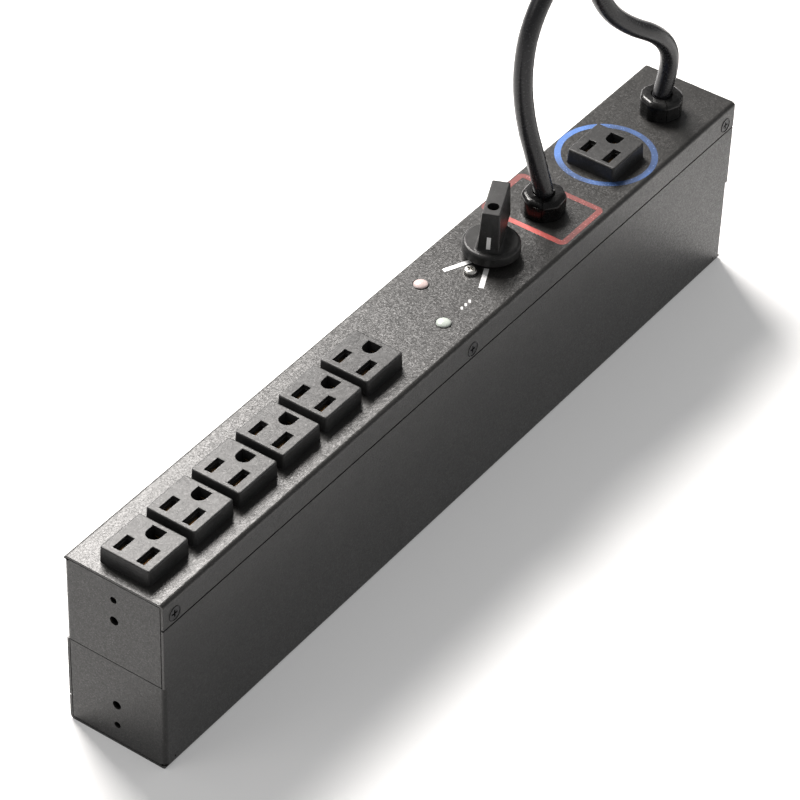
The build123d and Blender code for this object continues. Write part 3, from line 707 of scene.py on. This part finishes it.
def copied(obj, place):
    twin = bpy.data.objects.new(obj.name, obj.data.copy())
    bpy.context.scene.collection.objects.link(twin)
    twin.location = place
    return twin


def end_piece(obj, name, material):
    # Applies the piece's place, names it, gives it its finish and makes it ride on the housing.
    bpy.ops.object.select_all(action="DESELECT")
    obj.select_set(True)
    bpy.context.view_layer.objects.active = obj
    bpy.ops.object.transform_apply(location=True, rotation=True, scale=True)
    obj.name = name
    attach(obj, "housing")
    finish(obj, material)


# Cords


def hank_turns(first, last, turns, fold_points):
    # Control points of the loops, in millimetres. Each climbs or drops on its way back along +Y.
    cx, cy = HANK_CENTRE
    half = HANK_STRAIGHT / 2
    step = math.pi / fold_points
    reach = FOLD_RADIUS / math.cos(step / 2)
    run = 2 * reach * math.sin(step / 2)
    # Along a straight: near its two ends, two runs further in from each, and its middle
    stations = (half - run / 2, half - 2.5 * run, 0, -half + 2.5 * run, -half + run / 2)

    def fold(end, z):
        angles = [(i + 0.5) * step - end * math.pi / 2 for i in range(fold_points)]
        return [
            (cx + end * half + reach * math.cos(angle), cy + reach * math.sin(angle), z)
            for angle in angles
        ]

    points = []
    for turn in range(turns):
        low = first + (last - first) * turn / turns
        high = first + (last - first) * (turn + 1) / turns
        # The first straight starts where the route ends, so it has no station at its near end.
        out = stations[::-1] if turn else stations[3::-1]
        points += [(cx + x, cy - FOLD_RADIUS, low) for x in out]
        points += fold(1, low)
        for i, x in enumerate(stations):
            z = low + (high - low) * (i + 0.5) / len(stations)
            points.append((cx + x, cy + FOLD_RADIUS, z))
        points += fold(-1, high)
    return points


def tail(start_z, end_z):
    sx, sy = HANK_CENTRE[0] - HANK_STRAIGHT / 2, HANK_CENTRE[1] - FOLD_RADIUS
    ex, ey = TAIL_END
    points = [(sx, sy, start_z)]
    for along, side, rise in TAIL_SHARES:
        z = start_z + rise * (end_z - start_z)
        points.append((sx + along * (ex - sx), sy + side * (ey - sy), z))
    return points


def free_cord(name, line, diameter):
    curve = bpy.data.curves.new(name, "CURVE")
    curve.dimensions = "3D"
    spline = curve.splines.new("NURBS")
    spline.points.add(len(line) - 1)
    for point, place in zip(spline.points, line):
        point.co = (*mm(*place), 1)
    spline.order_u = 3
    spline.use_endpoint_u = True
    spline.resolution_u = CORD_STEPS
    curve.bevel_depth = diameter / 2
    curve.bevel_resolution = CORD_ROUNDNESS
    curve.use_fill_caps = True
    obj = bpy.data.objects.new(name, curve)
    bpy.context.scene.collection.objects.link(obj)
    return obj


class POWERUNIT_OT_stage(bpy.types.Operator):
    """Camera at the photograph's view, plain studio light, pale floor"""

    bl_idname = "powerunit.stage"
    bl_label = "Stage"

    def execute(self, context):
        settings = context.scene.power_unit_stage
        self.camera(context.scene)
        self.lamps(context.scene, settings)
        self.floor()
        self.world(context.scene, settings)
        context.scene.view_settings.view_transform = "Standard"
        return {"FINISHED"}

    def camera(self, scene):
        azimuth, elevation, roll = (math.radians(a) for a in CAMERA_ANGLES)
        back = Vector((
            math.sin(azimuth) * math.cos(elevation),
            -math.cos(azimuth) * math.cos(elevation),
            math.sin(elevation),
        ))
        right = (-back).cross(Vector((0, 0, 1))).normalized()
        up = back.cross(right)
        c, s = math.cos(roll), math.sin(roll)
        turned_right = c * right + s * up
        turned_up = -s * right + c * up
        data = bpy.data.cameras.new("Camera")
        data.sensor_width = CAMERA_SENSOR
        data.lens = CAMERA_LENS
        camera = bpy.data.objects.new("Camera", data)
        axes = Matrix((turned_right, turned_up, back)).transposed().to_4x4()
        camera.matrix_world = Matrix.Translation(Vector(CAMERA_PLACE)) @ axes
        scene.collection.objects.link(camera)
        scene.camera = camera

    def lamps(self, scene, settings):
        for name, (place, target, size) in LAMPS.items():
            data = bpy.data.lights.new(name, "AREA")
            data.shape = "RECTANGLE"
            data.size, data.size_y = size
            data.energy = getattr(settings, f"{name.lower()}_power")
            data.color = LAMP_COLOUR
            lamp = bpy.data.objects.new(name, data)
            lamp.location = place
            aim = Vector(place) - Vector(target)
            lamp.rotation_euler = aim.to_track_quat("Z", "Y").to_euler()
            scene.collection.objects.link(lamp)

    def floor(self):
        # Pale paper that glows only for the camera and in reflections, so the shadow on it stays.
        floor = primitive(bpy.ops.mesh.primitive_plane_add, size=FLOOR_SIZE, location=(0, 0, 0))
        edit_mesh(bpy.ops.mesh.subdivide, number_cuts=FLOOR_CUTS)
        floor.name = "Floor"
        material, tree, shader = new_material(
            "Floor paper", Base_Color=(0.8, 0.8, 0.8, 1), Roughness=0.9,
            Specular_IOR_Level=0.1, Emission_Color=(1, 1, 1, 1),
        )
        rays = add(tree, "ShaderNodeLightPath", (-700, 400))
        seen = combine(
            tree, (-500, 400), "MAXIMUM", (rays, "Is Camera Ray"), (rays, "Is Glossy Ray")
        )
        clear = combine(
            tree, (-300, 400), "MAXIMUM", (seen, "Value"), (rays, "Is Transmission Ray")
        )
        strength = combine(tree, (-100, 400), "MULTIPLY", (clear, "Value"), FLOOR_GLOW)
        link(tree, strength, "Value", shader, "Emission Strength")
        finish(floor, material)

    def world(self, scene, settings):
        world = bpy.data.worlds.new("Studio")
        scene.world = world
        world.use_nodes = True
        tree = world.node_tree
        tree.nodes.clear()
        plain = add(
            tree, "ShaderNodeBackground", (-300, 0),
            Color=(1, 1, 1, 1), Strength=settings.world_strength,
        )
        out = add(tree, "ShaderNodeOutputWorld", (0, 0))
        link(tree, plain, "Background", out, "Surface")


class POWERUNIT_OT_cords(bpy.types.Operator):
    """Both cords, from their strain reliefs to their plugs, with their hanks"""

    bl_idname = "powerunit.cords"
    bl_label = "Cords"

    def execute(self, context):
        settings = context.scene.power_unit_cords
        jacket = finish_named("Cord jacket")
        for name, plan in CORDS.items():
            route, length = plan["route"], plan["length"]
            turns = hank_turns(plan["first"], plan["last"], plan["turns"], settings.fold_points)
            line = route[:-1] + turns + tail(plan["last"], plan["plug"])
            cord = free_cord(f"{name}_lead", line, settings.diameter)
            finish(cord, jacket)
            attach(cord, "housing")
            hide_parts(f"{name}_cord", f"{name}_cord_hank", f"{name}_cord_tail")
        return {"FINISHED"}


class POWERUNIT_OT_receptacles(bpy.types.Operator):
    """Moulded faces of the seven receptacles, with the contacts seen in their slots"""

    bl_idname = "powerunit.receptacles"
    bl_label = "Receptacles"

    def execute(self, context):
        low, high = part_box("outlet_1")
        centre = (low + high) / 2
        face = self.face(low - centre, high - centre)
        leaves = self.leaves(high.z - centre.z)
        moulded = finish_named("Moulded black")
        # Painted shade: the contacts take the darker copy of the brass.
        contacts = finish_named("Contact brass")
        for node in SOCKETS:
            low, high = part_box(node)
            place = (low + high) / 2
            piece = copied(face, place)
            end_piece(piece, f"{node}_face", moulded)
            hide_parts(node)
            metal = copied(leaves, place)
            end_piece(metal, f"{node}_leaves", contacts)
        for obj in (face, leaves):
            bpy.data.objects.remove(obj)
        return {"FINISHED"}

    def face(self, low, high):
        # A drafted block: the sides lean in, then corners, top and openings get round edges.
        size = high - low
        top = high.z
        reach = OPENING_REACH * MM
        obj = box_piece((0, 0, 0), size)
        select_faces(obj, lambda face: face.normal.z > FACING)
        lean = 1 - FACE_DRAFT * MM / size.x
        edit_mesh(bpy.ops.transform.resize, value=(lean, lean, 1))
        round_edges(obj, FACE_CORNER, 5, lambda a, b: abs(a.z - b.z) > size.z / 2)
        round_edges(obj, FACE_EDGE, 4, lambda a, b: min(a.z, b.z) > top - LEVEL)
        self.open_slots(obj, low, high)
        round_edges(
            obj, OPENING_EDGE, 2,
            lambda a, b: min(a.z, b.z) > top - LEVEL
            and max(abs(a.x), abs(b.x), abs(a.y), abs(b.y)) < reach,
        )
        return obj

    def open_slots(self, obj, low, high):
        # Each slot has a wider lead at its top. The ground hole is round, with a flat end.
        top, tall = high.z, high.z - low.z
        for (x, y), (length, width) in SLOTS:
            lead = mm(length, width, 2 * LEAD_DEPTH)
            cut_away(obj, box_piece((*mm(x, y), top), lead))
            throat = mm(length - 2 * THROAT_MARGIN, width - 2 * THROAT_MARGIN)
            cut_away(obj, box_piece((*mm(x, y), 0), (*throat, 3 * tall)))
        x, y = GROUND_ROUND
        cut_away(obj, primitive(
            bpy.ops.mesh.primitive_cylinder_add,
            vertices=ROUND_SIDES, radius=GROUND_RADIUS * MM, depth=3 * tall, location=mm(x, y, 0),
        ))
        straight = mm(GROUND_FLAT - x, 2 * GROUND_RADIUS)
        cut_away(obj, box_piece(mm((x + GROUND_FLAT) / 2, y, 0), (*straight, 3 * tall)))

    def leaves(self, top):
        # Two sprung leaves in each slot, bent apart at their tips, and a bar in the ground hole.
        height = top - LEAF_DEPTH * MM
        parts = []
        for (x, y), (length, width) in SLOTS:
            for side in (-1, 1):
                leaf = box_piece(
                    (*mm(x, y + side * LEAF_APART), height),
                    mm(length - 2 * LEAF_MARGIN, LEAF_THICKNESS, LEAF_HEIGHT),
                )
                select_faces(leaf, lambda face: face.normal.z > FACING)
                flare = mm(0, side * LEAF_FLARE[0], LEAF_FLARE[1])
                edit_mesh(
                    bpy.ops.mesh.extrude_region_move, TRANSFORM_OT_translate={"value": flare}
                )
                parts.append(leaf)
        bar_place = (*mm(GROUND_FLAT - GROUND_BAR_INSET, GROUND_ROUND[1]), height)
        parts.append(box_piece(bar_place, mm(*GROUND_BAR)))
        bpy.ops.object.select_all(action="DESELECT")
        for part in parts:
            part.select_set(True)
        bpy.context.view_layer.objects.active = parts[0]
        bpy.ops.object.join()
        obj = bpy.context.object
        apply_modifier(obj, "BEVEL", width=LEAF_EDGE * MM, segments=2, limit_method="ANGLE")
        return obj


class POWERUNIT_OT_bushings(bpy.types.Operator):
    """Rounded two-part bushings at the cords' exits"""

    bl_idname = "powerunit.bushings"
    bl_label = "Bushings"

    def execute(self, context):
        gloss = finish_named("Gloss black")
        for name, turn in BUSHING_TURNS.items():
            node = f"{name}_strain_relief"
            low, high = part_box(node)
            obj = self.head(math.radians(turn), high.z - PANEL)
            obj.location = ((low.x + high.x) / 2, (low.y + high.y) / 2, (PANEL + high.z) / 2)
            end_piece(obj, f"{name}_bushing", gloss)
            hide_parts(node)
        return {"FINISHED"}

    def head(self, turn, tall):
        # Eight-sided head with soft corners and a wide round top, in halves that meet at a corner.
        half = tall / 2
        obj = primitive(
            bpy.ops.mesh.primitive_cylinder_add, vertices=BUSHING_SIDES, depth=tall,
            radius=BUSHING_HALF * MM / math.cos(math.pi / BUSHING_SIDES), location=(0, 0, 0),
        )
        corner = next(
            math.atan2(v.co.y, v.co.x)
            for v in obj.data.vertices if v.co.y < 0 and v.co.x < 0 and v.co.z > 0
        )
        round_edges(obj, BUSHING_CORNER, 5, lambda a, b: abs(a.z - b.z) > half)
        round_edges(obj, BUSHING_TOP_EDGE, 6, lambda a, b: min(a.z, b.z) > half - LEVEL)
        round_edges(obj, BUSHING_FOOT_EDGE, 3, lambda a, b: max(a.z, b.z) < LEVEL - half)
        cut_away(obj, primitive(
            bpy.ops.mesh.primitive_cylinder_add,
            vertices=ROUND_SIDES, radius=BUSHING_BORE * MM, depth=3 * tall, location=(0, 0, 0),
        ))
        obj.rotation_euler = (0, 0, math.pi + turn - corner)
        obj.select_set(True)
        bpy.ops.object.transform_apply(location=False, rotation=True, scale=False)
        slab = box_piece((0, 0, 0), (*mm(4 * BUSHING_HALF, BUSHING_SPLIT), 3 * tall))
        slab.rotation_euler = (0, 0, turn)
        cut_away(obj, slab)
        return obj


class POWERUNIT_OT_printing(bpy.types.Operator):
    """Printed ring, outline, selector marks and dashes on the outlet face"""

    bl_idname = "powerunit.printing"
    bl_label = "Printing"

    def execute(self, context):
        settings = context.scene.power_unit_print
        self.ring(settings, ink("Blue ink", tuple(settings.blue)))
        self.outline(settings, ink("Red ink", tuple(settings.red)))
        white = ink("White ink", WHITE_PRINT, sheen_and_wear=0.2, depth=0.9)
        self.selector_bars(settings, white)
        self.dashes(settings, white)
        return {"FINISHED"}

    def ring(self, settings, material):
        obj = primitive(
            bpy.ops.mesh.primitive_circle_add, vertices=RING_SIDES, radius=settings.ring_radius,
            fill_type="NGON", location=(*mm(*RING_CENTRE), PANEL),
        )
        self.keep_band(settings.band)
        self.end_print(obj, "input_ring_print", settings, material)

    def outline(self, settings, material):
        obj = self.plate(*mm(*OUTLINE_SIZE, OUTLINE_CORNER), 10)
        obj.location = (*mm(*OUTLINE_CENTRE), PANEL)
        self.keep_band(settings.band)
        self.end_print(obj, "output_outline_print", settings, material)

    def selector_bars(self, settings, material):
        for name, turn in BAR_TURNS.items():
            obj = self.plate(BAR_LENGTH * MM, settings.bar_width, BAR_CORNER * MM, 2)
            angle = math.radians(180 + turn)
            middle = BAR_REACH * MM
            obj.rotation_euler = (0, 0, angle)
            obj.location = (
                KNOB_X * MM + middle * math.cos(angle), middle * math.sin(angle), PANEL
            )
            self.end_print(obj, name, settings, material)

    def dashes(self, settings, material):
        for i, place in enumerate(DASH_PLACES):
            obj = self.plate(*mm(*DASH_SIZE, DASH_CORNER), 2)
            obj.rotation_euler = (0, 0, math.radians(DASH_TURN))
            obj.location = (*mm(*place), PANEL)
            self.end_print(obj, f"dash_print_{i + 1}", settings, material)

    def plate(self, length, width, corner, segments):
        # A flat plate with round corners.
        obj = primitive(bpy.ops.mesh.primitive_plane_add, size=1, location=(0, 0, 0))
        obj.scale = (length, width, 1)
        bpy.ops.object.transform_apply(location=False, rotation=False, scale=True)
        edit_mesh(
            bpy.ops.mesh.bevel, whole=True, offset=corner, segments=segments, affect="VERTICES"
        )
        return obj

    def keep_band(self, band):
        # Insets the plate and deletes its middle.
        edit_mesh(bpy.ops.mesh.inset, whole=True, thickness=band, depth=0)
        edit_mesh(bpy.ops.mesh.delete, type="FACE")

    def end_print(self, obj, name, settings, material):
        apply_modifier(obj, "SOLIDIFY", thickness=settings.ink_height, offset=1.0)
        end_piece(obj, name, material)


class POWERUNIT_OT_ties(bpy.types.Operator):
    """Straps that hold the two hanks together"""

    bl_idname = "powerunit.ties"
    bl_label = "Hank ties"

    def execute(self, context):
        settings = context.scene.power_unit_cords
        fabric = finish_named("Tie fabric")
        low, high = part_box("output_cord_hank")[0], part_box("supply_cord_hank")[1]
        cord = settings.diameter
        size = (settings.tie_width, cord + TIE_ROOM * MM, high.z - TIE_SINK * MM)
        for side, y in (("front", low.y + cord / 2), ("rear", high.y - cord / 2)):
            for place, reach in (("near", -TIE_REACH), ("far", TIE_REACH)):
                strap = self.strap(size)
                strap.location = ((HANK_CENTRE[0] + reach) * MM, y, high.z / 2)
                end_piece(strap, f"tie_{side}_{place}", fabric)
        return {"FINISHED"}

    def strap(self, size):
        # A closed band: a box without its two ends, with round corners and a wall.
        strap = box_piece((0, 0, 0), size)
        select_faces(strap, lambda face: abs(face.normal.x) > FACING)
        edit_mesh(bpy.ops.mesh.delete, type="ONLY_FACE")
        round_edges(strap, TIE_CORNER, 8, lambda a, b: abs(a.x - b.x) > size[0] / 2)
        apply_modifier(strap, "SOLIDIFY", thickness=TIE_THICKNESS * MM, offset=-1.0)
        return strap


class POWERUNIT_OT_bezels(bpy.types.Operator):
    """Domed lenses of the two lamps, with thin dark rings of painted shade round them and round the
    flange screws
    """

    bl_idname = "powerunit.bezels"
    bl_label = "Lenses and rims"

    def execute(self, context):
        for node, tint, slot in (
            ("bypass_lamp_lens", "Pink lens", "lens_amber"),
            ("ready_lamp_lens", "Green lens", "lens_green"),
        ):
            low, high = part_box(node)
            radius = (high.x - low.x) / 2
            middle = ((low.x + high.x) / 2, (low.y + high.y) / 2, PANEL)
            dome = self.dome(radius, high.z - PANEL)
            dome.location = middle
            end_piece(dome, f"{node}_dome", finish_named(tint))
            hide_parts(node)
            # Painted shade: a dark ring round the lens's foot.
            self.rim(node.replace("lens", "rim"), middle, (0, 0, 0), radius)
        for side in ("front", "rear"):
            low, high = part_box(f"{side}_flange_screws")
            radius = (high.z - low.z) / 2
            y = low.y if side == "front" else high.y
            xs = {"near": low.x + radius, "middle": (low.x + high.x) / 2, "far": high.x - radius}
            for place, x in xs.items():
                middle = (x, y, (low.z + high.z) / 2)
                # Painted shade: a dark ring for the shaded gap round the screw head.
                self.rim(f"{side}_{place}_screw_rim", middle, (math.pi / 2, 0, 0), radius)
        return {"FINISHED"}

    def dome(self, radius, rise):
        # The upper half of a flattened ball, closed a little below its middle.
        obj = primitive(
            bpy.ops.mesh.primitive_uv_sphere_add,
            segments=48, ring_count=24, radius=1, location=(0, 0, 0),
        )
        obj.scale = (radius, radius, rise)
        bpy.ops.object.transform_apply(location=False, rotation=False, scale=True)
        edit_mesh(
            bpy.ops.mesh.bisect, whole=True, plane_co=mm(0, 0, -LENS_FOOT), plane_no=(0, 0, -1),
            clear_outer=True, use_fill=True,
        )
        bpy.ops.object.shade_smooth_by_angle(angle=math.radians(50))
        return obj

    # A thin dark ring of painted shade, standing for the shaded gap round a lens foot or a screw
    # head.
    def rim(self, name, middle, turn, radius):
        obj = primitive(
            bpy.ops.mesh.primitive_torus_add,
            major_segments=ROUND_SIDES, major_radius=radius + SHADE_RING_OUTSET * MM,
            minor_segments=12, minor_radius=SHADE_RING_RADIUS * MM, location=middle, rotation=turn,
        )
        bpy.ops.object.shade_smooth()
        end_piece(obj, name, finish_named("Gloss black"))


class POWERUNIT_OT_finishes(bpy.types.Operator):
    """Materials of the solid parts"""

    bl_idname = "powerunit.finishes"
    bl_label = "Finishes"

    def execute(self, context):
        finishes = {node: name for name, nodes in NODE_FINISHES.items() for node in nodes}
        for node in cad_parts:
            if node in finishes:
                finish_node(node, finish_named(finishes[node]))
            elif not node.endswith(("_cord", "_cord_hank", "_cord_tail")):
                raise RuntimeError(f"{node} has no finish")
        return {"FINISHED"}


class POWERUNIT_PT_panel(bpy.types.Panel):
    """Buttons for each group of pieces"""

    bl_label = "Power Unit"
    bl_idname = "POWERUNIT_PT_panel"
    bl_space_type = "VIEW_3D"
    bl_region_type = "UI"
    bl_category = "Power Unit"

    def draw(self, context):
        for settings, group in SETTINGS.items():
            for name in group.__annotations__:
                self.layout.prop(getattr(context.scene, settings), name)
        for name in STEPS:
            self.layout.operator(f"powerunit.{name}")


SETTINGS = {
    "power_unit_stage": PowerUnitStageSettings,
    "power_unit_cords": PowerUnitCordSettings,
    "power_unit_print": PowerUnitPrintSettings,
}

STEPS = ("stage", "cords", "receptacles", "bushings", "printing", "ties", "bezels", "finishes")

CLASSES = (
    *SETTINGS.values(), POWERUNIT_OT_stage, POWERUNIT_OT_cords, POWERUNIT_OT_receptacles,
    POWERUNIT_OT_bushings, POWERUNIT_OT_printing, POWERUNIT_OT_ties, POWERUNIT_OT_bezels,
    POWERUNIT_OT_finishes, POWERUNIT_PT_panel,
)


def register():
    for cls in CLASSES:
        bpy.utils.register_class(cls)
    for name, group in SETTINGS.items():
        setattr(bpy.types.Scene, name, PointerProperty(type=group))


def unregister():
    for name in SETTINGS:
        delattr(bpy.types.Scene, name)
    for cls in reversed(CLASSES):
        bpy.utils.unregister_class(cls)


def main():
    register()
    for name in STEPS:
        getattr(bpy.ops.powerunit, name)()


if __name__ == "__main__":
    main()
